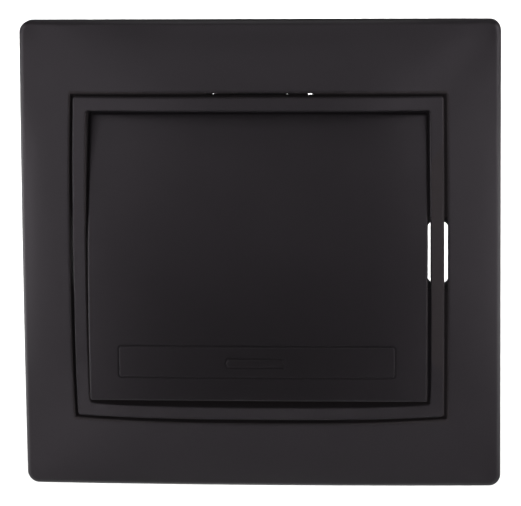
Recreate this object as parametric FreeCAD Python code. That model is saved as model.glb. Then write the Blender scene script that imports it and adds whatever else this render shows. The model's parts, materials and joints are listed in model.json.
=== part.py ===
import FreeCAD, Part
import math
import os

# Single-gang flush light switch, in millimetres.
# It is drawn lying on its back: X to the right, Y up the wall, Z out of the wall, with Z = 0 on the wall.
# stand_up() turns each finished piece, so that +Z is up and the key faces -Y.
# The origin is the middle of the 60 mm screw pattern, on the wall.

V = FreeCAD.Vector

# Frame: a soft pillow with a landscape window
frame_width = 81.3
frame_height = 79.7
frame_drop = 0.2
frame_edge_height = 3.0
frame_edge_swell = 1.0
frame_crown = 9.0
frame_corner = 2.0
frame_bevel = 0.65
frame_wall = 1.8
frame_face = 2.0
frame_rib = 1.0
frame_rib_foot = 0.5
frame_ledge_overlap = 0.5

# Insert ring in the frame's window
ring_width = 62.36
ring_height = 54.52
ring_bow = 0.08
ring_lift = 0.15
ring_land = 2.38
ring_gap_side = 0.42
ring_gap_end = 0.40
ring_gap_bow = 0.15
ring_skirt = 1.1
ring_shoulder = 4.0
ring_floor = 0.4
ring_floor_side = 0.9
ring_floor_end = 1.7
ring_bevel = 0.2
ring_corner = 0.6
ring_inner_corner = 0.4
ring_draft = 1.0
hook_gap = 0.05
hook_x = 6.3
hook_width = 3.4
hook_play = 0.06
release_notch = 0.85
hook_reach = 1.5
hook_nose = 1.1

# Key: arched up the wall, and tilted with its lower end out
key_width = 56.96
key_height = 48.46
key_corner_height = 8.4
key_arch_across = 0.6
key_arch_up = 2.4
key_bow = 0.07
key_wall = 1.6
key_skirt_bottom = 4.8
key_draft = 1.5
key_bevel = 0.22
key_tilt = 7.07
field_width = 46.3
field_height = 5.0
field_x = -0.15
field_y = -17.6
field_rise = 0.12
field_corner = 0.4
bar_length = 9.8
bar_height = 1.15
bar_x = -0.35
bar_y = -17.8
bar_rise = 0.1
bar_point = 0.35
relief_root = 0.6
groove = 0.28
groove_depth = 0.16
key_corner_round = 0.4
key_rib_x = 8.0
key_rib = 1.4
key_hook_x = 10.0
key_hook_width = 5.0
key_hook_thickness = 1.2
key_hook_nose = 0.8
key_hook_gap = 0.1

# Support plate: pressed steel, 60 mm slots at all four sides
plate_size = 71.0
plate_thickness = 1.2
plate_corner = 4.0
plate_window_corner = 1.0
slot_pitch = 60.0
slot_length = 11.2
slot_width = 4.0
corner_pitch = 62.0
corner_hole_radius = 1.75
slot_view = 0.6

# Mechanism housing behind the plate
base_size = 39.0
base_depth = 24.0
base_corner = 3.0
base_bevel = 0.6
chamber_side = 1.9
chamber_drop = 4.5
chamber_end = 3.6
screw_room = 0.3
screw_room_top = -12.0
cover_flange = 2.0
cover_rise = 3.2
cover_width = 34.6
cover_height = 26.4
cover_gap = 0.3
cheek_thickness = 2.2
cheek_radius = 2.35
cheek_web_half = 8.0
cheek_web_drop = 1.5
tub_corner = 0.8
throat_play = 0.6

# Hinge of the key, and the cradle under it
hinge_z = 6.8
pin_radius = 1.40
pin_clearance = 0.05
pin_reach = 2.4
cradle_width = 29.2
cradle_height = 22.0
cradle_top = 8.6
cradle_plate = 1.4
cradle_corner = 0.8
cradle_web_radius = 3.0
cradle_rib = 1.2
cradle_rib_drop = 2.6
stop_inset = 1.0
stop_thickness = 1.0
stop_side = 2.0
stop_gap = 0.08
weld = 0.2
cheek_gap = 0.4
tube_radius = 3.6
tube_bottom = -1.0
tube_ceiling = 7.4

# Plunger and spring
plunger_radius = 2.5
plunger_clearance = 0.04
plunger_top = 2.6
plunger_shoulder = -2.6
plunger_tip = 1.6
plunger_bore = 1.6
plunger_floor = -1.4
spring_radius = 1.15
spring_wire = 0.4
spring_turns = 6
spring_sides = 6

# Rocking contact arm, on the knife edge of the common strip
arm_axis_z = -6.7
arm_tilt = 9.0
arm_width = 5.0
arm_thickness = 0.8
arm_front = 11.0
arm_back = 6.0
arm_gap = 0.05
saddle_slope = 15.0
saddle_half = 2.3
saddle_gap = 0.1
saddle_ridge = 0.7
tip_y = 9.6
tip_radius = 1.5
tip_height = 0.7
tip_dome = 4.0
rivet_radius = 0.75
rivet_head = 1.2
rivet_head_height = 0.35
fixed_tip_height = 0.6
contact_gap = 0.03

# Strips, terminals and their screws
strip = 0.8
strip_width = 5.0
strip_bend = 0.8
strip_end = 0.2
shelf_end = 2.2
crook_drop = 3.8
terminal_rise = 7.2
riser_y = 7.6
pocket_half_x = 5.2
pocket_inner_y = 9.3
pocket_wall = 2.8
screw_radius = 1.75
screw_clearance = 0.04
screw_head_radius = 3.1
screw_head = 2.0
screw_length = 7.0
wire_gap = 3.2
wire_entry_radius = 1.4
wire_entry_x = 3.55
clamp_thickness = 1.2
clamp_play = 0.4
clamp_corner = 0.5
clamp_lip = 0.8
clamp_lip_height = 0.2

# Claws that grip the box wall
claw_offset = 0.5
claw_knuckle = 1.4
claw_seat_gap = 0.15
claw_sheet = 1.5
claw_width = 10.0
claw_leg = 15.6
claw_foot = 7.6
claw_swing = 26.0
claw_window_top = 1.9
claw_window_bottom = 9.2
claw_tooth = 1.2
claw_teeth = 3
claw_slot_play = 0.08
claw_slot_end = 0.1
nut_play = 0.2
claw_play = 0.25
claw_reach = 4.2
claw_screw_radius = 1.45
claw_screw_end = -8.2
claw_screw_head_radius = 2.8
nut_size = 4.8
nut_thickness = 1.8
nut_gap = 0.06

# Screws through plate and cover into the base
cover_screw_inset_x = 5.5
cover_screw_inset_y = 3.2
cover_screw_radius = 1.4
cover_screw_head_radius = 2.7
cover_screw_head = 1.8
cover_screw_end = -9.0
screw_slot_width = 0.9
screw_slot_depth = 0.9
hole_gap = 0.15
screw_edge = 0.3

# How far cutting tools run past a face, and how far joined pieces sink into each other
past = 1.0
sunk = 0.1

# Worked out from the sizes above
frame_half_x = frame_width / 2
frame_half_y = frame_height / 2
ring_half_x = ring_width / 2
ring_half_y = ring_height / 2
window_half_x = ring_half_x + ring_gap_side
window_half_y = ring_half_y + ring_gap_end
ring_inner_x = ring_half_x - ring_land
ring_inner_y = ring_half_y - ring_land
key_half_x = key_width / 2
key_half_y = key_height / 2
base_half = base_size / 2
claw_x = base_half + claw_offset
claw_screw_x = claw_x + claw_reach
cover_screw_x = base_half - cover_screw_inset_x
cover_screw_y = base_half - cover_screw_inset_y
pocket_outer_y = base_half - pocket_wall
terminal_y = (pocket_inner_y + pocket_outer_y) / 2
terminal_z = terminal_rise - base_depth
plunger_reach = hinge_z - (arm_axis_z + arm_gap + strip / 2 + arm_thickness + saddle_gap)
claw_z = -(claw_knuckle + claw_seat_gap)


def slab(x0, x1, y0, y1, z0, z1):
    return Part.makeBox(x1 - x0, y1 - y0, z1 - z0, V(x0, y0, z0))


def post(radius, x, y, z0, z1):
    return Part.makeCylinder(radius, z1 - z0, V(x, y, z0))


def pin_across(radius, x0, x1, y, z):
    return Part.makeCylinder(radius, x1 - x0, V(x0, y, z), V(1, 0, 0))


def pin_upward(radius, y0, y1, x, z):
    return Part.makeCylinder(radius, y1 - y0, V(x, y0, z), V(0, 1, 0))


def joined(pieces):
    return pieces[0].multiFuse(pieces[1:]).removeSplitter()


def drilled(body, tools):
    return body.cut(tools).removeSplitter()


def both_ways(shape, normal):
    """The shape and its mirror image across the plane through the origin."""
    return [shape, shape.mirror(V(0, 0, 0), normal)]


def outline(half_x, half_y, bow_x, bow_y, corner, z):
    """A rectangle with rounded corners, whose sides bow outward by bow_x and bow_y at their middles."""
    flat_x = half_x - corner
    flat_y = half_y - corner
    diagonal = corner * math.sqrt(0.5)
    quarter = [
        (V(half_x, -flat_y, z), V(half_x + bow_x, 0, z), V(half_x, flat_y, z)),
        (V(half_x, flat_y, z), V(flat_x + diagonal, flat_y + diagonal, z), V(flat_x, half_y, z)),
        (V(flat_x, half_y, z), V(0, half_y + bow_y, z), V(-flat_x, half_y, z)),
        (V(-flat_x, half_y, z), V(-flat_x - diagonal, flat_y + diagonal, z), V(-half_x, flat_y, z)),
    ]
    bows = [bow_x, corner, bow_y, corner]
    edges = []
    for way in (1, -1):
        for (start, middle, end), bow in zip(quarter, bows):
            points = [V(way * point.x, way * point.y, point.z) for point in (start, middle, end)]
            if bow:
                edges.append(Part.Arc(*points).toShape())
            elif (points[2] - points[0]).Length > 0:
                edges.append(Part.LineSegment(points[0], points[2]).toShape())
    return Part.Wire(edges)


def block(half_x, half_y, z0, z1, corner=0.0, bow_x=0.0, bow_y=0.0, draft=0.0, level=None):
    """A block with bowed sides and rounded corners. A draft narrows it below the level of its true size."""
    slope = math.tan(math.radians(draft))
    level = z1 if level is None else level
    wires = []
    for z in (z0, z1):
        grow = (z - level) * slope
        wires.append(outline(half_x + grow, half_y + grow, bow_x, bow_y, corner, z))
    if not draft:
        return Part.Face(wires[0]).extrude(V(0, 0, z1 - z0))
    return Part.makeLoft(wires, True, True)


def under(height_at, half_x, half_y, drop=40.0, steps=8):
    """The space under a smooth skin whose height is given by a formula."""
    rows = []
    for i in range(steps + 1):
        x = half_x * (2 * i / steps - 1)
        heights = [(half_y * (2 * j / steps - 1)) for j in range(steps + 1)]
        rows.append([V(x, y, height_at(x, y)) for y in heights])
    skin = Part.BSplineSurface()
    skin.interpolate(rows)
    return skin.toShape().extrude(V(0, 0, -drop))


def rim_edges(body, half_x, half_y, lowest, margin=0.35):
    """The edges that run round the outside at the top."""
    found = []
    for edge in body.Edges:
        middle = edge.valueAt((edge.FirstParameter + edge.LastParameter) / 2)
        outside = abs(middle.x) > half_x - margin or abs(middle.y) > half_y - margin
        if outside and edge.BoundBox.ZMin > lowest:
            found.append(edge)
    return found


def bent_strip(points, thickness, width, bend):
    """A sheet strip bent along a route in the YZ plane, rounded at its bends, and centred on X = 0."""
    corners = [V(0, y, z) for y, z in points]
    edges = []
    start = corners[0]
    for before, corner, after in zip(corners, corners[1:], corners[2:]):
        arriving = (corner - before).normalize()
        leaving = (after - corner).normalize()
        half_turn = arriving.getAngle(leaving) / 2
        setback = bend * math.tan(half_turn)
        first = corner - arriving * setback
        last = corner + leaving * setback
        inward = (leaving - arriving).normalize()
        centre = corner + inward * (bend / math.cos(half_turn))
        middle = centre - inward * bend
        edges.append(Part.LineSegment(start, first).toShape())
        edges.append(Part.Arc(first, middle, last).toShape())
        start = last
    edges.append(Part.LineSegment(start, corners[-1]).toShape())
    route = Part.Wire(edges)
    first_way = (corners[1] - corners[0]).normalize()
    side = V(1, 0, 0).cross(first_way) * (thickness / 2)
    left = corners[0] + side
    right = corners[0] - side
    across = V(width / 2, 0, 0)
    profile = Part.makePolygon([left - across, right - across, right + across, left + across, left - across])
    swept = Part.BRepOffsetAPI.MakePipeShell(route)
    swept.setFrenetMode(False)
    swept.setBiNormalMode(V(1, 0, 0))
    swept.add(profile)
    swept.build()
    swept.makeSolid()
    return swept.shape()


def tilted(shape, degrees, z):
    """Turned about the X direction at the given height."""
    turned = shape.copy()
    turned.rotate(V(0, 0, z), V(1, 0, 0), degrees)
    return turned


def frame_dome(x, y):
    u = abs(x) / frame_half_x
    v = abs(y) / frame_half_y
    edge = frame_edge_height + frame_edge_swell * (1 - u * u * v * v)
    return edge + frame_crown * (1 - u**3) * (1 - v**3)


def outer_frame():
    reach_x = frame_half_x + 2 * past
    reach_y = frame_half_y + 2 * past
    top = frame_edge_height + frame_edge_swell + frame_crown
    skin = under(frame_dome, reach_x, reach_y)
    body = block(frame_half_x, frame_half_y, 0, top, frame_corner).common(skin)
    rim = rim_edges(body, frame_half_x, frame_half_y, frame_edge_height / 2)
    body = body.makeChamfer(frame_bevel, rim)
    body.translate(V(0, -frame_drop, 0))
    bows = {"bow_x": ring_bow + ring_gap_bow, "bow_y": ring_bow + 2 * ring_gap_bow}
    window = block(window_half_x, window_half_y, -past, top + past, ring_bevel, **bows)
    inner_skin = under(lambda x, y: frame_dome(x, y) - frame_face, reach_x, reach_y)
    inside = block(frame_half_x - frame_wall, frame_half_y - frame_wall, -past, top).common(inner_skin)
    inside.translate(V(0, -frame_drop, 0))
    walls = block(window_half_x + frame_wall, window_half_y + frame_wall, -2 * past, top + past)
    hollow = inside.cut(walls)
    pocket_half = plate_size / 2 + cover_gap
    pocket = slab(-pocket_half, pocket_half, -pocket_half, pocket_half, -past, plate_thickness + hole_gap)
    body = body.cut([window, hollow, pocket])
    ribs = []
    half = frame_rib / 2
    for x in (-frame_half_x / 2, 0, frame_half_x / 2):
        ribs.append(slab(x - half, x + half, -frame_half_y, frame_half_y, frame_rib_foot, top))
    for y in (-frame_half_y / 2, frame_half_y / 2):
        ribs.append(slab(-frame_half_x, frame_half_x, y - half, y + half, frame_rib_foot, top))
    ribs = [rib.common(hollow).cut(pocket) for rib in ribs]
    return joined([body] + ribs + frame_ledges())


def frame_ledges():
    """Angled lips in the window's corners that the ring's shoulder holds against the plate."""
    inner_x = ring_half_x - ring_skirt + hole_gap
    inner_y = ring_half_y - ring_skirt + hole_gap
    outer_x = window_half_x + ring_bow + ring_gap_bow + frame_ledge_overlap
    outer_y = window_half_y + ring_bow + 2 * ring_gap_bow + frame_ledge_overlap
    near_x = hook_x + hook_width / 2 + release_notch + hole_gap
    near_y = slot_length / 2 + slot_view
    lips = []
    for x_way in (-1, 1):
        for y_way in (-1, 1):
            for left, low in ((near_x, inner_y), (inner_x, near_y)):
                x0, x1 = sorted((x_way * left, x_way * outer_x))
                y0, y1 = sorted((y_way * low, y_way * outer_y))
                lips.append(slab(x0, x1, y0, y1, plate_thickness, ring_shoulder))
    return lips


def inner_bezel():
    top = frame_edge_height + frame_edge_swell + frame_crown
    skin = under(lambda x, y: frame_dome(x, y) + ring_lift, frame_half_x, frame_half_y)
    skin.translate(V(0, -frame_drop, 0))
    bows = {"bow_x": ring_bow, "bow_y": ring_bow, "draft": ring_draft, "level": top - ring_shoulder}
    upper = block(ring_half_x, ring_half_y, ring_shoulder, top + past, ring_corner, **bows)
    bow = 2 * ring_bow
    opening = block(ring_inner_x, ring_inner_y, -past, top + 2 * past, ring_inner_corner, bow, bow)
    body = upper.common(skin).cut(opening)
    lowest = ring_shoulder + past
    edges = [edge for edge in body.Edges if edge.BoundBox.ZMin > lowest]
    body = body.makeChamfer(ring_bevel, edges)
    lower_x = ring_half_x - ring_skirt
    lower_y = ring_half_y - ring_skirt
    lower = block(lower_x, lower_y, plate_thickness, ring_shoulder, ring_corner)
    floor = block(lower_x, lower_y, plate_thickness, plate_thickness + ring_floor, ring_corner)
    floor_x = ring_inner_x - ring_floor_side
    floor_y = ring_inner_y - ring_floor_end
    floor = floor.cut(block(floor_x, floor_y, 0, ring_shoulder, ring_inner_corner))
    lower = lower.cut(opening).fuse(floor)
    notch_half = slot_length / 2 + slot_view
    reach = ring_half_x + past
    notch = slab(-reach, reach, -notch_half, notch_half, 0, ring_shoulder)
    lower = lower.cut(notch)
    return joined([body, lower] + ring_hooks(ring_inner_y + 2 * ring_bow, lower_y))


def ring_hooks(inner_y, outer_y):
    """Four legs that pass through the plate, each with a nose that catches behind it."""
    hooks = []
    for x_way in (-1, 1):
        for y_way in (-1, 1):
            x0 = x_way * hook_x - hook_width / 2
            x1 = x_way * hook_x + hook_width / 2
            tip_z = -hook_gap - hook_reach
            nose_y = outer_y + hook_nose
            side = [
                V(x0, y_way * inner_y, ring_shoulder),
                V(x0, y_way * outer_y, ring_shoulder),
                V(x0, y_way * outer_y, -hook_gap),
                V(x0, y_way * nose_y, -hook_gap),
                V(x0, y_way * outer_y, tip_z),
                V(x0, y_way * inner_y, tip_z),
                V(x0, y_way * inner_y, ring_shoulder),
            ]
            hooks.append(Part.Face(Part.makePolygon(side)).extrude(V(x1 - x0, 0, 0)))
    return hooks


def key_skin(x, y):
    u = x / key_half_x
    v = y / key_half_y
    return key_corner_height + key_arch_across * (1 - u * u) + key_arch_up * (1 - v * v)


def rocker_key():
    top = key_corner_height + key_arch_across + key_arch_up + past
    reach_x = key_half_x + 2 * past
    reach_y = key_half_y + 2 * past
    level = key_corner_height + key_arch_up / 2
    shape = {"corner": key_corner_round, "draft": key_draft, "level": level}
    outside = block(key_half_x, key_half_y, key_skirt_bottom, top, bow_x=key_bow, **shape)
    body = outside.common(under(key_skin, reach_x, reach_y))
    rim = rim_edges(body, key_half_x, key_half_y, key_skirt_bottom + past)
    body = body.makeChamfer(key_bevel, rim)
    inside_skin = under(lambda x, y: key_skin(x, y) - key_wall, reach_x, reach_y)
    inner_x = key_half_x - key_wall
    inner_y = key_half_y - key_wall
    hollow = block(inner_x, inner_y, key_skirt_bottom - past, top, **shape).common(inside_skin)
    body = body.cut(hollow)
    under_face = under(lambda x, y: key_skin(x, y) - key_wall / 2, reach_x, reach_y)
    ribs = []
    for x in (-key_rib_x, key_rib_x):
        half_y = cradle_height / 2 - key_hook_thickness
        rib = slab(x - key_rib / 2, x + key_rib / 2, -half_y, half_y, cradle_top, top)
        ribs.append(rib.common(under_face))
    hooks = [hook.common(under_face) for hook in key_hooks(top)]
    body = joined([with_relief(body, reach_x, reach_y)] + ribs + hooks)
    return tilted(body, -key_tilt, hinge_z)


def key_hooks(top):
    """Two pairs of fingers that snap over the cradle's upper and lower edges."""
    near = cradle_height / 2 + key_hook_gap
    catch = cradle_top - cradle_plate - key_hook_gap
    end = catch - key_hook_thickness
    hooks = []
    for x_way in (-1, 1):
        x0 = x_way * key_hook_x - key_hook_width / 2
        side = [
            V(x0, near, top),
            V(x0, near + key_hook_thickness, top),
            V(x0, near + key_hook_thickness, end),
            V(x0, near, end),
            V(x0, near - key_hook_nose, catch),
            V(x0, near, catch),
            V(x0, near, top),
        ]
        finger = Part.Face(Part.makePolygon(side)).extrude(V(key_hook_width, 0, 0))
        hooks += both_ways(finger, V(0, 1, 0))
    return hooks


def bar_column(grow, foot, top):
    """An upright prism on the bar's outline, grown on all sides."""
    half = bar_length / 2 + grow
    near = half - bar_point
    tall = bar_height / 2 + grow
    ends = [(half, 0), (near, tall), (-near, tall), (-half, 0), (-near, -tall), (near, -tall)]
    corners = [V(bar_x + x, bar_y + y, foot) for x, y in ends]
    return Part.Face(Part.makePolygon(corners + corners[:1])).extrude(V(0, 0, top - foot))


def field_column(grow, foot, top):
    """An upright prism on the field's outline, grown on all sides."""
    column = block(field_width / 2 + grow, field_height / 2 + grow, foot, top, field_corner + grow)
    column.translate(V(field_x, field_y, 0))
    return column


def with_relief(body, reach_x, reach_y):
    """The key with the raised field along its lower end, the small bar on it, and a groove round both."""
    foot = key_skirt_bottom + 2 * past
    top = key_corner_height + key_arch_across + key_arch_up + 2 * past
    root = under(lambda x, y: key_skin(x, y) - relief_root, reach_x, reach_y)
    for column, rise in ((field_column, 0), (bar_column, field_rise)):
        base_height = rise - groove_depth
        own_rise = rise + (bar_rise if rise else field_rise)
        groove_floor = under(lambda x, y: key_skin(x, y) + base_height, reach_x, reach_y)
        raised = under(lambda x, y: key_skin(x, y) + own_rise, reach_x, reach_y)
        body = body.cut(column(groove, foot, top).cut(groove_floor))
        body = body.fuse(column(0, foot, top).common(raised).cut(root))
    return body


def slot(length, width, x, y, upright):
    """A round-ended slot through the plate."""
    half = (length - width) / 2
    if upright:
        ends = [(x, y - half), (x, y + half)]
        middle = slab(x - width / 2, x + width / 2, y - half, y + half, -past, plate_thickness + past)
    else:
        ends = [(x - half, y), (x + half, y)]
        middle = slab(x - half, x + half, y - width / 2, y + width / 2, -past, plate_thickness + past)
    rounds = [post(width / 2, end_x, end_y, -past, plate_thickness + past) for end_x, end_y in ends]
    return joined([middle] + rounds)


def support_plate():
    body = block(plate_size / 2, plate_size / 2, 0, plate_thickness, plate_corner)
    through = [-past, plate_thickness + past]
    window_x = cover_width / 2 + cover_gap
    window_y = cover_height / 2 + cover_gap
    cuts = [block(window_x, window_y, *through, plate_window_corner)]
    pitch = slot_pitch / 2
    for way in (-1, 1):
        cuts.append(slot(slot_length, slot_width, way * pitch, 0, True))
        cuts.append(slot(slot_length, slot_width, 0, way * pitch, False))
        cuts.append(post(claw_screw_radius + hole_gap, way * claw_screw_x, 0, *through))
        for other_way in (-1, 1):
            corner = corner_pitch / 2
            cuts.append(post(corner_hole_radius, way * corner, other_way * corner, *through))
            x = way * hook_x
            y0 = ring_inner_y + 2 * ring_bow - hole_gap
            y1 = ring_half_y - ring_skirt + hook_nose + hole_gap
            y0, y1 = sorted((other_way * y0, other_way * y1))
            half = hook_width / 2 + hook_play
            cuts.append(slab(x - half, x + half, y0, y1, *through))
            if way == other_way:
                x0, x1 = sorted((x, x + way * (half + release_notch)))
                cuts.append(slab(x0, x1, y0, y1, *through))
    for x, y in cover_screw_places():
        cuts.append(post(cover_screw_radius + hole_gap, x, y, *through))
    return drilled(body, cuts)


def cover_screw_places():
    return [(-cover_screw_x, cover_screw_y), (cover_screw_x, -cover_screw_y)]


def claw_seats():
    """Half-round seats for the claws' knuckles, in both sides of the housing."""
    half = claw_width / 2 + claw_play
    seat = pin_upward(claw_knuckle + claw_seat_gap, -half, half, claw_x, claw_z)
    return both_ways(seat, V(1, 0, 0))


def mechanism_cover():
    flange = block(base_half, base_half, -cover_flange, 0, base_corner)
    tub = block(cover_width / 2, cover_height / 2, -cover_flange, cover_rise, tub_corner)
    cheek_x = cradle_width / 2 + cheek_gap
    cheeks = []
    for x0 in (cheek_x, -cheek_x - cheek_thickness):
        x1 = x0 + cheek_thickness
        cheeks.append(slab(x0, x1, -cheek_radius, cheek_radius, 0, hinge_z))
        cheeks.append(pin_across(cheek_radius, x0, x1, 0, hinge_z))
        web_top = hinge_z - cheek_web_drop
        web = [V(x0, -cheek_web_half, cover_rise), V(x0, cheek_web_half, cover_rise)]
        web += [V(x0, cheek_radius, web_top), V(x0, -cheek_radius, web_top)]
        cheeks.append(Part.Face(Part.makePolygon(web + web[:1])).extrude(V(cheek_thickness, 0, 0)))
    body = joined([flange, tub] + cheeks)
    swing = (hinge_z - tube_bottom) * math.sin(math.radians(key_tilt))
    throat_x = tube_radius + throat_play
    throat_y = tube_radius + swing + throat_play
    cuts = [slab(-throat_x, throat_x, -throat_y, throat_y, -cover_flange - past, cover_rise + past)]
    cuts.append(pin_across(pin_radius + pin_clearance, -cover_width, cover_width, 0, hinge_z))
    for x, y in cover_screw_places():
        cuts.append(post(cover_screw_radius + hole_gap, x, y, -cover_flange - past, past))
    return drilled(body, cuts + claw_seats())


def mechanism_base():
    floor = -base_depth
    body = block(base_half, base_half, floor, -cover_flange, base_corner)
    back_rim = [edge for edge in body.Edges if edge.BoundBox.ZMax < floor + sunk]
    body = body.makeChamfer(base_bevel, back_rim)
    chamber_x = arm_width / 2 + chamber_side
    chamber_floor = arm_axis_z - chamber_drop
    cuts = [slab(-chamber_x, chamber_x, -riser_y - chamber_side, tip_y + chamber_end, chamber_floor, 0)]
    ceiling = terminal_z + strip / 2 + hole_gap
    riser_half = strip / 2 + hole_gap
    strip_half = strip_width / 2 + hole_gap
    for way in (-1, 1):
        y0, y1 = sorted((way * pocket_inner_y, way * pocket_outer_y))
        cuts.append(slab(-pocket_half_x, pocket_half_x, y0, y1, floor - past, ceiling))
        y0, y1 = sorted((way * (riser_y - riser_half), way * pocket_outer_y))
        strip_floor = terminal_z - strip / 2 - hole_gap
        cuts.append(slab(-strip_half, strip_half, y0, y1, strip_floor, ceiling))
        y0, y1 = sorted((way * (riser_y - riser_half), way * (riser_y + riser_half)))
        cuts.append(slab(-strip_half, strip_half, y0, y1, strip_floor, chamber_floor + past))
        cuts.append(post(screw_radius + screw_room, 0, way * terminal_y, floor, screw_room_top))
        for x in (-wire_entry_x, wire_entry_x):
            y0, y1 = sorted((way * (pocket_outer_y - past), way * (base_half + past)))
            entry_z = terminal_z - strip / 2 - wire_gap / 2
            cuts.append(pin_upward(wire_entry_radius, y0, y1, x, entry_z))
    for x, y in cover_screw_places():
        cuts.append(post(cover_screw_radius + screw_clearance, x, y, cover_screw_end - past, 0))
    recess_x = claw_x - claw_sheet / 2 - claw_play
    recess_y = claw_width / 2 + claw_play
    recess = slab(recess_x, base_half + past, -recess_y, recess_y, claw_z - claw_leg - past, 0)
    return drilled(body, cuts + claw_seats() + both_ways(recess, V(1, 0, 0)))


def rocker_cradle():
    half_x = cradle_width / 2
    half_y = cradle_height / 2
    plate_bottom = cradle_top - cradle_plate
    parts = [block(half_x, half_y, plate_bottom, cradle_top, cradle_corner)]
    parts.append(post(tube_radius, 0, 0, tube_bottom, plate_bottom + weld))
    web = pin_across(cradle_web_radius, half_x - cheek_thickness, half_x, 0, hinge_z)
    pin = pin_across(pin_radius, half_x - past, half_x + pin_reach, 0, hinge_z)
    parts += both_ways(web, V(1, 0, 0)) + both_ways(pin, V(1, 0, 0))
    rib = cradle_rib / 2
    rib_bottom = hinge_z - cradle_rib_drop
    parts.append(slab(past - half_x, half_x - past, -rib, rib, rib_bottom, plate_bottom + weld))
    stop_x = half_x - stop_side
    stop_y = half_y - stop_inset
    stop = slab(-stop_x, stop_x, stop_y - stop_thickness, stop_y, stop_rib_bottom(), plate_bottom + weld)
    parts += both_ways(stop, V(0, 1, 0))
    trim = slab(-half_x, half_x, -half_y, half_y, cradle_top, cradle_top + tube_radius)
    bore = post(plunger_radius + plunger_clearance, 0, 0, tube_bottom - past, tube_ceiling)
    return tilted(drilled(joined(parts), [trim, bore]), -key_tilt, hinge_z)


def stop_rib_bottom():
    """The height at which the stop ribs meet the cover when the key is fully tilted."""
    turn = math.radians(key_tilt)
    outer_y = cradle_height / 2 - stop_inset
    below_hinge = (hinge_z - cover_rise - stop_gap - outer_y * math.sin(turn)) / math.cos(turn)
    return hinge_z - below_hinge


def plunger():
    centre_z = hinge_z - plunger_reach + plunger_tip
    ball = Part.makeSphere(plunger_tip, V(0, 0, centre_z))
    neck = post(plunger_tip, 0, 0, centre_z, plunger_shoulder + sunk)
    barrel = post(plunger_radius, 0, 0, plunger_shoulder, plunger_top)
    bore = post(plunger_bore, 0, 0, plunger_floor, plunger_top + past)
    return tilted(drilled(joined([ball, neck, barrel]), [bore]), -key_tilt, hinge_z)


def arc_towards(start, corner, end):
    """The round arc that leaves start towards corner and arrives at end from it."""
    middle = (start + end) * 0.5
    half_chord = (end - start).Length / 2
    rise = (corner - middle).Length
    side = (corner - start).Length
    sagitta = half_chord * (side - half_chord) / rise
    return Part.Arc(start, middle + (corner - middle).normalize() * sagitta, end).toShape()


def plunger_spring():
    """One coil from the plunger's floor to the ceiling of the cradle's tube, on pairs of round arcs."""
    bottom = plunger_floor + spring_wire / 2
    rise = tube_ceiling - spring_wire / 2 - bottom
    steps = spring_turns * 4
    slope = rise / (2 * math.pi * spring_turns)

    def place(step):
        angle = 2 * math.pi * spring_turns * step / steps
        return V(spring_radius * math.cos(angle), spring_radius * math.sin(angle), bottom + slope * angle)

    def heading(step):
        angle = 2 * math.pi * spring_turns * step / steps
        return V(-spring_radius * math.sin(angle), spring_radius * math.cos(angle), slope).normalize()

    edges = []
    for step in range(steps):
        start, end = place(step), place(step + 1)
        leaving, arriving = heading(step), heading(step + 1)
        chord = end - start
        both = leaving + arriving
        spread = 2 * (1 - leaving.dot(arriving))
        along = chord.dot(both)
        reach = (-along + math.sqrt(along * along + spread * chord.dot(chord))) / spread
        first_corner = start + leaving * reach
        last_corner = end - arriving * reach
        meeting = (first_corner + last_corner) * 0.5
        edges.append(arc_towards(start, first_corner, meeting))
        edges.append(arc_towards(meeting, last_corner, end))
    route = Part.Wire(edges)
    circle = Part.Circle(place(0), heading(0), spring_wire / 2)
    corners = [circle.value(2 * math.pi * side / spring_sides) for side in range(spring_sides)]
    coil = route.makePipeShell([Part.makePolygon(corners + corners[:1])], True, False)
    pitch = rise / spring_turns
    print("spring: least gap between turns", round(pitch - spring_wire, 2), "mm")
    return tilted(coil, -key_tilt, hinge_z)


def arm_levels():
    """Underside and top of the contact arm, above its rocking axis."""
    underside = strip / 2 + arm_gap
    return underside, underside + arm_thickness


def moving_contact():
    underside, top = arm_levels()
    peak = top + saddle_half * math.tan(math.radians(saddle_slope))
    side = [
        (-arm_back, underside),
        (arm_front, underside),
        (arm_front, top),
        (saddle_half + saddle_ridge, top),
        (saddle_half, peak),
        (0, top),
        (-saddle_half, peak),
        (-saddle_half - saddle_ridge, top),
        (-arm_back, top),
    ]
    corners = [V(-arm_width / 2, y, arm_axis_z + z) for y, z in side]
    body = Part.Face(Part.makePolygon(corners + corners[:1])).extrude(V(arm_width, 0, 0))
    hole = post(rivet_radius, 0, tip_y, arm_axis_z - past, arm_axis_z + top + past)
    return tilted(body.cut(hole), arm_tilt, arm_axis_z)


def moving_tip():
    underside, top = arm_levels()
    bottom = underside - tip_height
    dome = Part.makeSphere(tip_dome, V(0, tip_y, arm_axis_z + bottom + tip_dome))
    face = post(tip_radius, 0, tip_y, arm_axis_z + bottom, arm_axis_z + underside).common(dome)
    shank = post(rivet_radius, 0, tip_y, arm_axis_z + underside - sunk, arm_axis_z + top + sunk)
    head = post(rivet_head, 0, tip_y, arm_axis_z + top, arm_axis_z + top + rivet_head_height)
    return tilted(joined([face, shank, head]), arm_tilt, arm_axis_z)


def closed_tip_place():
    """Where the moving tip's dome touches when the arm is tilted the other way."""
    underside, top = arm_levels()
    turn = math.radians(arm_tilt)
    up = underside - tip_height + tip_dome
    y = tip_y * math.cos(turn) + up * math.sin(turn)
    z = arm_axis_z - tip_y * math.sin(turn) + up * math.cos(turn) - tip_dome
    return y, z


def fixed_levels():
    y, z = closed_tip_place()
    face = z - contact_gap
    return y, face, face - fixed_tip_height


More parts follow.
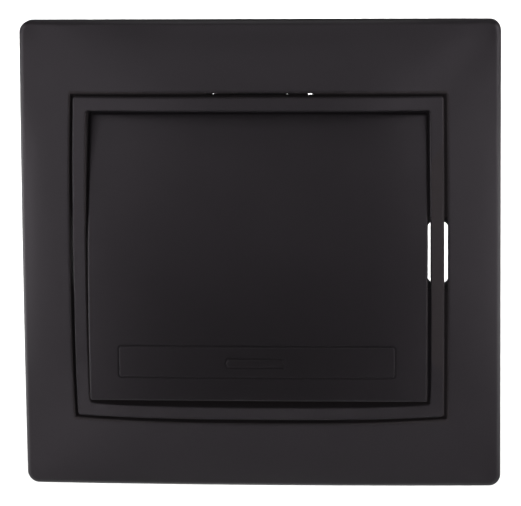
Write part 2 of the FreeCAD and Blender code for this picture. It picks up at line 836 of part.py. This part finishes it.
def fixed_contact():
    y, face, strip_top = fixed_levels()
    shelf = strip_top - strip / 2
    route = [(pocket_outer_y - strip_end, terminal_z), (riser_y, terminal_z)]
    route += [(riser_y, shelf), (y + shelf_end, shelf)]
    body = bent_strip(route, strip, strip_width, strip_bend)
    holes = [post(screw_radius + screw_clearance, 0, terminal_y, terminal_z - past, terminal_z + past)]
    holes.append(post(rivet_radius, 0, y, shelf - past, shelf + past))
    return drilled(body, holes)


def fixed_tip():
    y, face, strip_top = fixed_levels()
    pad = post(tip_radius, 0, y, strip_top, face)
    shank = post(rivet_radius, 0, y, strip_top - strip - sunk, strip_top + sunk)
    head = post(rivet_head, 0, y, strip_top - strip - rivet_head_height, strip_top - strip)
    return joined([pad, shank, head])


def common_contact():
    crook = arm_axis_z - crook_drop
    route = [(strip_end - pocket_outer_y, terminal_z), (-riser_y, terminal_z), (-riser_y, crook)]
    route += [(0, crook), (0, arm_axis_z)]
    body = bent_strip(route, strip, strip_width, strip_bend)
    edge = pin_across(strip / 2, -strip_width / 2, strip_width / 2, 0, arm_axis_z)
    hole = post(screw_radius + screw_clearance, 0, -terminal_y, terminal_z - past, terminal_z + past)
    return drilled(joined([body, edge]), [hole])


def clamp_levels():
    """Top and bottom of a clamp plate with the terminal fully open."""
    top = terminal_z - strip / 2 - wire_gap
    return top, top - clamp_thickness


def terminal_clamp(way):
    top, bottom = clamp_levels()
    half_x = pocket_half_x - clamp_play
    half_y = (pocket_outer_y - pocket_inner_y) / 2 - clamp_play
    plate = block(half_x, half_y, bottom, top, clamp_corner)
    lip_y = half_y - clamp_lip
    lip = slab(half_x - clamp_lip, half_x, -lip_y, lip_y, bottom, top + clamp_lip_height)
    lips = both_ways(lip, V(1, 0, 0))
    hole = post(screw_radius + screw_clearance, 0, 0, bottom - past, top + past)
    body = drilled(joined([plate] + lips), [hole])
    body.translate(V(0, way * terminal_y, 0))
    return body


def slotted_screw(radius, head_radius, head, length):
    """A screw with its head's underside at Z = 0, its shank along -Z and a driver slot in the head."""
    top = post(head_radius, 0, 0, 0, head)
    rim = [edge for edge in top.Edges if edge.BoundBox.ZMin > head / 2]
    top = top.makeChamfer(screw_edge, rim)
    shank = post(radius, 0, 0, -length, sunk)
    end = [edge for edge in shank.Edges if edge.BoundBox.ZMax < -length / 2]
    shank = shank.makeChamfer(screw_edge, end)
    half = screw_slot_width / 2
    slit = slab(-head_radius, head_radius, -half, half, head - screw_slot_depth, head + past)
    return joined([top, shank]).cut(slit)


def terminal_screw(way):
    top, bottom = clamp_levels()
    screw = slotted_screw(screw_radius, screw_head_radius, screw_head, screw_length)
    screw.rotate(V(0, 0, 0), V(1, 0, 0), 180)
    screw.translate(V(0, way * terminal_y, bottom))
    return screw


def claw():
    """The claw at the right: a knuckle, a long toothed leg and a short leg that the nut lifts."""
    half = claw_width / 2
    knuckle = pin_upward(claw_knuckle, -half, half, 0, 0)
    sheet = claw_sheet / 2
    leg = slab(-sheet, sheet, -half, half, -claw_leg, 0)
    teeth = []
    for step in range(claw_teeth):
        z = -claw_leg + step * claw_tooth
        root = sheet - sunk
        side = [V(root, -half, z), V(sheet + claw_tooth, -half, z), V(root, -half, z + claw_tooth)]
        teeth.append(Part.Face(Part.makePolygon(side + side[:1])).extrude(V(0, claw_width, 0)))
    gap_half = nut_size / 2 + nut_play
    gap = slab(-claw_sheet, claw_sheet, -gap_half, gap_half, -claw_window_bottom, -claw_window_top)
    foot = slab(0, claw_foot, -half, half, -sheet, sheet)
    foot = foot.cut(claw_foot_slot())
    foot.rotate(V(0, 0, 0), V(0, 1, 0), claw_swing)
    body = joined([knuckle, leg.cut(gap), foot] + teeth)
    body.translate(V(claw_x, 0, claw_z))
    return body


def claw_foot_slot():
    """The slot that lets the screw through the short leg over its whole swing."""
    reach = claw_screw_x - claw_x
    turn = math.radians(claw_swing)
    radius = claw_screw_radius + claw_slot_play
    near = reach - claw_slot_end
    far = (reach + radius) / math.cos(turn) - radius + claw_sheet / 2 * math.tan(turn) + claw_slot_end
    depth = claw_sheet
    ends = [post(radius, near, 0, -depth, depth), post(radius, far, 0, -depth, depth)]
    return joined([slab(near, far, -radius, radius, -depth, depth)] + ends)


def claw_nut():
    """A square nut whose upper outer edge meets the claw's short leg."""
    half = nut_size / 2
    turn = math.radians(claw_swing)
    edge_reach = claw_screw_x + half - claw_x
    top = claw_z - edge_reach * math.tan(turn) - claw_sheet / 2 / math.cos(turn) - nut_gap
    body = slab(claw_screw_x - half, claw_screw_x + half, -half, half, top - nut_thickness, top)
    hole = post(claw_screw_radius + screw_clearance, claw_screw_x, 0, top - nut_thickness - past, top + past)
    return body.cut(hole)


def claw_screw():
    length = plate_thickness - claw_screw_end
    screw = slotted_screw(claw_screw_radius, claw_screw_head_radius, cover_screw_head, length)
    screw.translate(V(claw_screw_x, 0, plate_thickness))
    return screw


def cover_screws():
    length = plate_thickness - cover_screw_end
    screws = []
    for x, y in cover_screw_places():
        screw = slotted_screw(cover_screw_radius, cover_screw_head_radius, cover_screw_head, length)
        screw.translate(V(x, y, plate_thickness))
        screws.append(screw)
    return Part.makeCompound(screws)


def stand_up(shape):
    standing = shape.copy()
    standing.rotate(V(0, 0, 0), V(1, 0, 0), 90)
    return standing


def build():
    pieces = {
        "outer_frame": outer_frame(),
        "inner_bezel": inner_bezel(),
        "rocker_key": rocker_key(),
        "support_plate": support_plate(),
        "mechanism_cover": mechanism_cover(),
        "mechanism_base": mechanism_base(),
        "rocker_cradle": rocker_cradle(),
        "plunger": plunger(),
        "plunger_spring": plunger_spring(),
        "moving_contact": moving_contact(),
        "moving_tip": moving_tip(),
        "fixed_contact": fixed_contact(),
        "fixed_tip": fixed_tip(),
        "common_contact": common_contact(),
        "cover_screws": cover_screws(),
        "line_clamp": terminal_clamp(-1),
        "load_clamp": terminal_clamp(1),
        "line_screw": terminal_screw(-1),
        "load_screw": terminal_screw(1),
    }
    for name, shape in (("claw", claw()), ("claw_nut", claw_nut()), ("claw_screw", claw_screw())):
        right, left = both_ways(shape, V(1, 0, 0))
        pieces[name + "_right"] = right
        pieces[name + "_left"] = left
    os.makedirs("parts", exist_ok=True)
    for name, shape in pieces.items():
        stand_up(shape).exportStep("parts/" + name + ".step")
        print(name, "valid" if shape.isValid() else "NOT VALID", len(shape.Solids), round(shape.Volume, 1))


build()
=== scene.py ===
import json
import math

import bpy
from mathutils import Matrix, Vector

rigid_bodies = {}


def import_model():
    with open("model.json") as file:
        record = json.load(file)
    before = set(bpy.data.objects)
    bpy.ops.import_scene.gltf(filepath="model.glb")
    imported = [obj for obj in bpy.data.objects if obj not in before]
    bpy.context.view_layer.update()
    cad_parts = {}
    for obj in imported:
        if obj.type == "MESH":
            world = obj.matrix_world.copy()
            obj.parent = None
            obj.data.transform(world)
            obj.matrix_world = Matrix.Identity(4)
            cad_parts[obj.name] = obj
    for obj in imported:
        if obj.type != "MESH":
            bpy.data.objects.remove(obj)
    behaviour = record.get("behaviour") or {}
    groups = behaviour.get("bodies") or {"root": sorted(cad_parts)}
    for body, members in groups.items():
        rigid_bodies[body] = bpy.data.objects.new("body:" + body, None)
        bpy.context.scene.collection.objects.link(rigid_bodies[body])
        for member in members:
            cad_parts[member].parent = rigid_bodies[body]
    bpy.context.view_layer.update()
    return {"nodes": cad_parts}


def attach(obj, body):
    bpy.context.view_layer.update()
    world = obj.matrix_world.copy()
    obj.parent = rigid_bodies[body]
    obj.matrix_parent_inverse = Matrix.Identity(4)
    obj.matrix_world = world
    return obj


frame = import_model()
nodes = frame["nodes"]

MM = 0.001
FRONT_NODES = ("outer_frame", "inner_bezel", "rocker_key")
SHARP_ANGLE = math.radians(32)
FLOOR_HEIGHT = -0.16

# The camera was fitted to the outlines of frame, insert ring and key in the photo
IMAGE_WIDTH = 521
FOCAL_LENGTH = 230.26
SHIFT_IN_PIXELS = (1.358, -0.32)
CAMERA_PLACE_MM = (43.219, -560.44, 85.651)
CAMERA_TURN = (0.152, -0.077, 0.003)


def add_camera():
    """The photo's view; the turn is an axis times an angle in radians."""
    data = bpy.data.cameras.new("camera")
    data.sensor_width = 36.0
    data.lens = FOCAL_LENGTH
    data.clip_start = 0.05
    data.clip_end = 20.0
    data.shift_x, data.shift_y = (shift / IMAGE_WIDTH for shift in SHIFT_IN_PIXELS)
    camera = bpy.data.objects.new("camera", data)
    bpy.context.scene.collection.objects.link(camera)
    turn = Vector(CAMERA_TURN)
    to_camera = Matrix.Rotation(turn.length, 3, turn.normalized())
    # The rows are the camera's right, up and back directions, with Y up the wall and Z out of it
    rows = [Vector((row[0], -row[2], row[1])) for row in to_camera]
    facing = Matrix(rows).transposed().to_4x4()
    camera.matrix_world = Matrix.Translation(Vector(CAMERA_PLACE_MM) * MM) @ facing
    bpy.context.scene.camera = camera


# Most of a noise texture lies between these values, so colours and roughness run from one to the other
NOISE_LOW, NOISE_HIGH = 0.3, 0.7
# A normal whose depth share is below the first is a wall; one whose share to the right is above the second is a bevel
WALL_LIMIT, BEVEL_LIMIT = 0.25, 0.3


class Shader:
    """A Principled material with helpers for its procedural textures, in object coordinates."""

    def __init__(self, name):
        self.material = bpy.data.materials.new(name)
        self.material.use_nodes = True
        self.tree = self.material.node_tree
        self.body = self.tree.nodes["Principled BSDF"]
        self.coords = self.tree.nodes.new("ShaderNodeTexCoord").outputs
        self.place = self.coords["Object"]

    def set(self, **values):
        """Constants of the shader; an underscore stands for a space in a socket's name."""
        for name, value in values.items():
            self.body.inputs[name.replace("_", " ")].default_value = value

    def noise(self, size_mm, detail=3.0, stretch=(1, 1, 1)):
        """A noise texture with grains of about that size, longer along the stretched axes."""
        mapping = self.tree.nodes.new("ShaderNodeMapping")
        mapping.inputs["Scale"].default_value = [1000 / size_mm / s for s in stretch]
        self.tree.links.new(self.place, mapping.inputs["Vector"])
        texture = self.tree.nodes.new("ShaderNodeTexNoise")
        texture.inputs["Scale"].default_value = 1.0
        texture.inputs["Detail"].default_value = detail
        self.tree.links.new(mapping.outputs["Vector"], texture.inputs["Vector"])
        return texture.outputs["Fac"]

    def spread(self, source, low, high, socket):
        """Feeds a socket with a texture scaled to run from low to high."""
        scale = self.tree.nodes.new("ShaderNodeMapRange")
        limits = (("From Min", NOISE_LOW), ("From Max", NOISE_HIGH), ("To Min", low), ("To Max", high))
        for name, value in limits:
            scale.inputs[name].default_value = value
        self.tree.links.new(source, scale.inputs["Value"])
        self.tree.links.new(scale.outputs["Result"], self.body.inputs[socket])

    def tint(self, source, dark, bright):
        """Base colour that runs from dark to bright with a texture."""
        ramp = self.tree.nodes.new("ShaderNodeValToRGB")
        ends = ((NOISE_LOW, dark), (NOISE_HIGH, bright))
        for element, (position, colour) in zip(ramp.color_ramp.elements, ends):
            element.position = position
            element.color = (*colour, 1)
        self.tree.links.new(source, ramp.inputs["Fac"])
        self.tree.links.new(ramp.outputs["Color"], self.body.inputs["Base Color"])

    def math(self, operation, first, second):
        """One Math node; the second value is a number or another output."""
        step = self.tree.nodes.new("ShaderNodeMath")
        step.operation = operation
        self.tree.links.new(first, step.inputs[0])
        if isinstance(second, (int, float)):
            step.inputs[1].default_value = second
        else:
            self.tree.links.new(second, step.inputs[1])
        return step.outputs["Value"]

    def along(self, source, axis):
        """One coordinate of a vector."""
        parts = self.tree.nodes.new("ShaderNodeSeparateXYZ")
        self.tree.links.new(source, parts.inputs["Vector"])
        return parts.outputs[axis]

    def away(self, source, axis, scale):
        """Distance from the middle along one axis, times scale."""
        return self.math("ABSOLUTE", self.math("MULTIPLY", self.along(source, axis), scale), 0)

    def power_of(self, axis, half_mm, power):
        """Grows from 0 in the middle to 1 at half_mm on both sides, along one axis."""
        return self.math("POWER", self.away(self.place, axis, 1000 / half_mm), power)

    def inside(self, half_x_mm, half_z_mm):
        """1 within a rectangle round the middle of the front, 0 outside it."""
        reach = self.math("MAXIMUM", self.away(self.place, "X", 1000 / half_x_mm),
                          self.away(self.place, "Z", 1000 / half_z_mm))
        return self.math("LESS_THAN", reach, 1.0)

    def upright(self):
        """1 on walls that stand square to the front and on right-hand bevels, 0 on the front."""
        walls = self.math("LESS_THAN", self.away(self.coords["Normal"], "Y", 1.0), WALL_LIMIT)
        facing_right = self.math("GREATER_THAN", self.along(self.coords["Normal"], "X"), BEVEL_LIMIT)
        return self.math("MAXIMUM", walls, facing_right)

    def low_middle_shade(self, half_mm, top_mm, bottom_mm, amount):
        """Grows from 0 at one height to an amount at a lower one, and fades out towards both sides; it places the
        painted shade on the key's lower middle.
        """
        drop = self.tree.nodes.new("ShaderNodeMapRange")
        for name, value in (("From Min", top_mm * MM), ("From Max", bottom_mm * MM), ("To Max", amount)):
            drop.inputs[name].default_value = value
        self.tree.links.new(self.along(self.place, "Z"), drop.inputs["Value"])
        side = self.math("ABSOLUTE", self.math("SUBTRACT", self.power_of("X", half_mm, 2), 1.0), 0)
        return self.math("MULTIPLY", drop.outputs["Result"], side)

    def cover(self, socket, value, where):
        """Puts a constant over what feeds a socket, as far as where is above 0."""
        target = self.body.inputs[socket]
        source = target.links[0].from_socket
        mix = self.tree.nodes.new("ShaderNodeMixRGB")
        mix.inputs["Color2"].default_value = value
        self.tree.links.new(where, mix.inputs["Fac"])
        self.tree.links.new(source, mix.inputs["Color1"])
        self.tree.links.new(mix.outputs["Color"], target)

    def bump(self, *layers, rounding=0):
        """Each layer is a texture and its height in millimetres; rounding softens the edges."""
        before = None
        if rounding:
            bevel = self.tree.nodes.new("ShaderNodeBevel")
            bevel.samples = 6
            bevel.inputs["Radius"].default_value = rounding * MM
            before = bevel.outputs["Normal"]
        for source, height in layers:
            node = self.tree.nodes.new("ShaderNodeBump")
            node.inputs["Strength"].default_value = 1.0
            node.inputs["Distance"].default_value = abs(height) * MM
            node.invert = height < 0
            self.tree.links.new(source, node.inputs["Height"])
            if before:
                self.tree.links.new(before, node.inputs["Normal"])
            before = node.outputs["Normal"]
        self.tree.links.new(before, self.body.inputs["Normal"])


PAINT_DARK = (0.0102, 0.0088, 0.0102)
PAINT_BRIGHT = (0.0122, 0.0106, 0.0122)
# Darkest colour of the painted shade on the key's lower middle
PAINTED_SHADE_BLACK = (0.001, 0.0009, 0.001, 1.0)
DULL = (0.85, 0.85, 0.85, 1.0)


def velvet_black(name, rounding, crown=(), window=None, wall=0.026, painted_shade=None):
    """Painted front with dull walls, lighter than the paint as bare plastic and as painted light in the gaps, either in
    the window of the frame or all round a piece.

    rounding softens the edges, in millimetres. Each entry of crown is axis, half width, power and depth.
    window is half the width and height of the frame's opening. wall is the red of these walls, lighter than the paint:
    partly bare plastic, partly painted light that brightens the narrow gaps.
    The last argument gives the key's lower middle a painted shade, a darker base colour that stands in for shade: half
    width, top, bottom and amount.
    """
    shader = Shader(name)
    shader.set(IOR=1.42, Specular_Tint=(1.0, 0.90, 1.0, 1.0))
    grain = shader.noise(0.22, 4.0)
    cloud = shader.noise(9.0, 3.0)
    shader.tint(cloud, PAINT_DARK, PAINT_BRIGHT)
    shader.spread(grain, 0.32, 0.42, "Roughness")
    # Painted shade: the lower middle gets a darker base colour that stands in for shade there
    if painted_shade:
        shader.cover("Base Color", PAINTED_SHADE_BLACK, shader.low_middle_shade(*painted_shade))
    walls = shader.inside(*window) if window else shader.upright()
    # Painted light: the walls get a lighter colour than the paint, partly for bare plastic and partly standing in for
    # light in the narrow gaps
    shader.cover("Base Color", (wall, wall * 0.84, wall * 0.87, 1.0), walls)
    shader.cover("Roughness", DULL, walls)
    slopes = [(shader.power_of(axis, half, power), -depth) for axis, half, power, depth in crown]
    shader.bump(*slopes, (cloud, 0.004), (grain, 0.006), rounding=rounding)
    return shader.material


def moulded(name, dark, bright, roughness):
    """A satin polymer with a fine grain."""
    shader = Shader(name)
    shader.set(IOR=1.5, Subsurface_Weight=0.05)
    shader.body.inputs["Subsurface Radius"].default_value = (0.002, 0.0018, 0.0016)
    shader.tint(shader.noise(7.0), dark, bright)
    grain = shader.noise(0.3, 3.0)
    shader.spread(grain, roughness - 0.05, roughness + 0.08, "Roughness")
    shader.bump((shader.noise(5.0, 2.0), 0.01), (grain, 0.008))
    return shader.material


def metal(name, dark, bright, roughness, stretch=(1, 1, 1), height=0.004):
    """Plated or rolled metal with streaks along the stretched axis, of a height in millimetres."""
    shader = Shader(name)
    shader.set(Metallic=1.0)
    streaks = shader.noise(0.35, 4.0, stretch)
    shader.tint(shader.noise(3.5, 4.0), dark, bright)
    shader.spread(streaks, roughness - 0.08, roughness + 0.12, "Roughness")
    shader.bump((streaks, height))
    return shader.material


def dress(material, *names):
    """Gives nodes their material."""
    for name in names:
        mesh = nodes[name].data
        mesh.materials.clear()
        mesh.materials.append(material)


def dress_all():
    # The frame and ring walls get a lighter colour that is partly painted light in the gaps
    dress(velvet_black("frame_black", 0.8, window=(31.95, 28.15)), "outer_frame")
    dress(velvet_black("ring_black", 0.3), "inner_bezel")
    # The key's lower middle gets a painted shade, and its walls keep about the paint's colour
    key = velvet_black("key_black", 0.3, [("X", 28.5, 5, 0.9), ("Z", 24.2, 2, -1.0)], wall=0.012,
                       painted_shade=(27.0, 2.0, -16.0, 0.75))
    dress(key, "rocker_key")
    light = moulded("light_polymer", (0.56, 0.56, 0.54), (0.62, 0.62, 0.60), 0.42)
    dress(light, "mechanism_base", "mechanism_cover")
    white = moulded("white_polymer", (0.72, 0.72, 0.70), (0.78, 0.78, 0.76), 0.38)
    dress(white, "rocker_cradle", "plunger")
    zinc = metal("zinc_sheet", (0.28, 0.28, 0.30), (0.38, 0.38, 0.39), 0.48, (1, 1, 6))
    dress(zinc, "support_plate", "claw_right", "claw_left")
    screw = metal("zinc_screw", (0.52, 0.52, 0.50), (0.66, 0.65, 0.62), 0.34, height=0.0012)
    dress(screw, "cover_screws", "claw_screw_right", "claw_screw_left", "claw_nut_right", "claw_nut_left")
    dress(screw, "line_screw", "load_screw", "line_clamp", "load_clamp")
    spring = metal("spring_wire", (0.42, 0.42, 0.43), (0.55, 0.55, 0.55), 0.25)
    dress(spring, "plunger_spring")
    brass = metal("brass_strip", (0.62, 0.43, 0.17), (0.78, 0.57, 0.27), 0.28, (6, 1, 1))
    dress(brass, "moving_contact", "fixed_contact", "common_contact")
    silver = metal("silver_tip", (0.70, 0.69, 0.66), (0.84, 0.83, 0.80), 0.30)
    dress(silver, "moving_tip", "fixed_tip")


def smooth_all():
    """Smooth shading with sharp edges kept."""
    for node in nodes.values():
        node.data.polygons.foreach_set("use_smooth", [True] * len(node.data.polygons))
        node.data.set_sharp_from_angle(angle=SHARP_ANGLE)


def add_mesh(name, points, faces, material):
    """A new object with one material."""
    mesh = bpy.data.meshes.new(name)
    mesh.from_pydata(points, [], faces)
    mesh.materials.append(material)
    piece = bpy.data.objects.new(name, mesh)
    bpy.context.scene.collection.objects.link(piece)
    return piece


# Steps round one turn, and how far the ridge stands out of the shank and reaches into it, in millimetres
THREAD_STEPS = 24
THREAD_CREST = 0.07
THREAD_ROOT = 0.05
# Screw threads: name, screw, centre across and up the wall, first and last depth, radius and pitch, in millimetres
THREADS = [
    ("claw_thread_right", "claw_screw_right", 24.2, 0.0, 0.5, 7.9, 1.45, 0.5),
    ("claw_thread_left", "claw_screw_left", -24.2, 0.0, 0.5, 7.9, 1.45, 0.5),
    ("line_thread", "line_screw", 0.0, -13.0, 14.9, 20.1, 1.75, 0.6),
    ("load_thread", "load_screw", 0.0, 13.0, 14.9, 20.1, 1.75, 0.6),
]


def add_thread(name, body, x, z, start, end, radius, pitch):
    """A helical ridge round a screw's shank; body and node share one name."""
    half = 0.36 * pitch
    count = int((end - start) / pitch * THREAD_STEPS)
    points, faces = [], []
    for i in range(count + 1):
        turn = 2 * math.pi * i / THREAD_STEPS
        depth = start + pitch * i / THREAD_STEPS
        # The ridge rises over its first turn and sinks over its last
        fade = min(1.0, i / THREAD_STEPS, (count - i) / THREAD_STEPS)
        crest = THREAD_CREST * fade - THREAD_ROOT * (1 - fade)
        for along, out in ((-half, -THREAD_ROOT), (0.0, crest), (half, -THREAD_ROOT)):
            across = x + (radius + out) * math.cos(turn)
            up = z + (radius + out) * math.sin(turn)
            points.append((across * MM, (depth + along) * MM, up * MM))
    for i in range(count):
        low, high = 3 * i, 3 * i + 3
        faces += [(low + a, low + b, high + b, high + a) for a, b in ((0, 1), (1, 2), (2, 0))]
    faces += [(2, 1, 0), (3 * count, 3 * count + 1, 3 * count + 2)]
    ridge = add_mesh(name, points, faces, nodes[body].data.materials[0])
    ridge.data.validate()
    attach(ridge, body)


def add_threads():
    for thread in THREADS:
        add_thread(*thread)


def add_floor():
    """A plain pale floor of 12 m by 12 m."""
    shader = Shader("pale_floor")
    shader.tint(shader.noise(40.0), (0.55, 0.55, 0.55), (0.57, 0.57, 0.57))
    shader.set(Roughness=0.9)
    half = 6.0
    corners = [(-half, -half, 0), (half, -half, 0), (half, half, 0), (-half, half, 0)]
    sheet = add_mesh("floor", corners, [(0, 1, 2, 3)], shader.material)
    sheet.location = (0, 0, FLOOR_HEIGHT)
    return sheet


# Boxes within this azimuth and below this elevation stand in front and light without the front pieces' shadows
FRONT_AZIMUTH, FRONT_ELEVATION = 45, 60
# Soft boxes: azimuth from the front and elevation in degrees, distance, width and height in metres, power in watts
LIGHTS = {
    "left_far": (-85, 5, 1.0, 0.3, 1.6, 7.0),
    "left_side": (-64, 8, 1.0, 0.35, 1.0, 0.61),
    "left_front": (-42, 8, 1.0, 0.3, 0.8, 1.1),
    "front_left": (-20, 5, 1.0, 0.25, 0.6, 0.17),
    "left_high": (-20, 22, 1.0, 0.3, 0.25, 0.43),
    "right_high": (20, 22, 1.0, 0.3, 0.25, 0.52),
    "front_right": (20, 5, 1.0, 0.25, 0.6, 0.1),
    "right_front": (42, 8, 1.0, 0.3, 0.8, 0.97),
    "right_side": (64, 8, 1.0, 0.35, 1.0, 1.05),
    "right_far": (85, 5, 1.0, 0.3, 1.6, 6.5),
    "top": (0, 70, 1.0, 0.9, 0.3, 1.0),
    "top_front": (0, 42, 1.0, 0.9, 0.3, 0.7),
    "top_back": (180, 55, 1.0, 0.9, 0.4, 0.65),
    "left_corner": (-40, 36, 1.0, 0.3, 0.3, 0.26),
    "low_left": (-50, -38, 0.24, 0.14, 0.14, 0.03),
}


def add_light(name, place, aim, size, power):
    """A rectangular area lamp that faces a point."""
    data = bpy.data.lights.new(name, "AREA")
    data.shape = "RECTANGLE"
    data.size, data.size_y = size
    data.energy = power
    lamp = bpy.data.objects.new(name, data)
    bpy.context.scene.collection.objects.link(lamp)
    lamp.location = place
    lamp.rotation_mode = "QUATERNION"
    lamp.rotation_quaternion = (Vector(aim) - Vector(place)).to_track_quat("-Z", "Y")
    return lamp


def group_of(name, left_out):
    """A collection of all meshes but some, for light linking."""
    group = bpy.data.collections.new(name)
    for piece in bpy.context.scene.objects:
        if piece.type == "MESH" and piece.name not in left_out:
            group.objects.link(piece)
    return group


def add_soft_boxes(front_pieces):
    """Soft boxes round the part; the front ones fill its recesses and spare the floor and the plate."""
    front_shades = group_of("front_shades", front_pieces)
    front_lit = group_of("front_lit", [nodes["support_plate"].name, "floor"])
    for name, (azimuth, elevation, distance, width, height, power) in LIGHTS.items():
        side, up = math.radians(azimuth), math.radians(elevation)
        away = Vector((math.sin(side) * math.cos(up), -math.cos(side) * math.cos(up), math.sin(up)))
        lamp = add_light(name, away * distance, (0, 0, 0), (width, height), power)
        if abs(azimuth) < FRONT_AZIMUTH and elevation < FRONT_ELEVATION:
            lamp.light_linking.blocker_collection = front_shades
            lamp.light_linking.receiver_collection = front_lit


def add_floor_light(front_pieces):
    """Lights the floor behind the part, where the camera sees it, and all but the front pieces."""
    lamp = add_light("floor_light", (0.0, 2.3, 1.3), (0.0, 2.3, 0.0), (3.6, 3.6), 140.0)
    lamp.data.spread = math.radians(70)
    lamp.light_linking.receiver_collection = group_of("back_lit", front_pieces)


# Floor washes: centre x and y, width, depth and height in metres, spread in degrees, strength in watts per square metre
WASHES = [
    (0.0, -4.1, 12.0, 6.2, 2.5, 20, 1.2),
    (-3.4, 1.5, 4.8, 5.0, 2.5, 20, 2.4),
    (3.4, 1.5, 4.8, 5.0, 2.5, 20, 2.4),
    (-1.15, -0.9, 1.4, 1.4, 2.5, 20, 2.4),
    (1.15, -0.9, 1.4, 1.4, 2.5, 20, 2.4),
    (0.0, -0.2, 0.6, 0.3, 1.2, 10, 2.28),
]


def add_floor_wash(floor):
    """Keeps the floor pale for other views and for what the part mirrors."""
    only_floor = bpy.data.collections.new("only_floor")
    only_floor.objects.link(floor)
    for x, y, width, depth, height, spread, strength in WASHES:
        power = strength * width * depth
        lamp = add_light("floor_wash", (x, y, height), (x, y, 0.0), (width, depth), power)
        lamp.data.spread = math.radians(spread)
        lamp.light_linking.receiver_collection = only_floor


def add_backdrop():
    """A pale round wall far off with a ceiling, seen but giving no light."""
    shader = Shader("pale_backdrop")
    shader.tint(shader.noise(300.0), (0.90, 0.90, 0.90), (0.92, 0.92, 0.92))
    pale = shader.body.inputs["Base Color"].links[0].from_socket
    shader.tree.links.new(pale, shader.body.inputs["Emission Color"])
    shader.set(Emission_Strength=0.9)
    radius, height, steps = 4.8, 4.0, 64
    turns = [2 * math.pi * i / steps for i in range(steps)]
    ring = [(radius * math.cos(turn), radius * math.sin(turn)) for turn in turns]
    points = [(x, y, z) for z in (FLOOR_HEIGHT, height) for x, y in ring] + [(0, 0, height)]
    faces = [(i, (i + 1) % steps, steps + (i + 1) % steps, steps + i) for i in range(steps)]
    faces += [(steps + i, steps + (i + 1) % steps, 2 * steps) for i in range(steps)]
    wall = add_mesh("backdrop", points, faces, shader.material)
    for way in ("diffuse", "glossy", "transmission", "volume_scatter", "shadow"):
        setattr(wall, "visible_" + way, False)


def add_world(level):
    """A faint even light from all round."""
    world = bpy.data.worlds.new("studio")
    world.use_nodes = True
    shade = world.node_tree.nodes["Background"]
    shade.inputs["Color"].default_value = (1, 1, 1, 1)
    shade.inputs["Strength"].default_value = level
    bpy.context.scene.world = world


bpy.context.scene.view_settings.view_transform = "Standard"
add_camera()
smooth_all()
dress_all()
add_threads()
floor = add_floor()
add_backdrop()
front_pieces = [nodes[name].name for name in FRONT_NODES]
add_soft_boxes(front_pieces)
add_floor_light(front_pieces)
add_floor_wash(floor)
add_world(0.02)
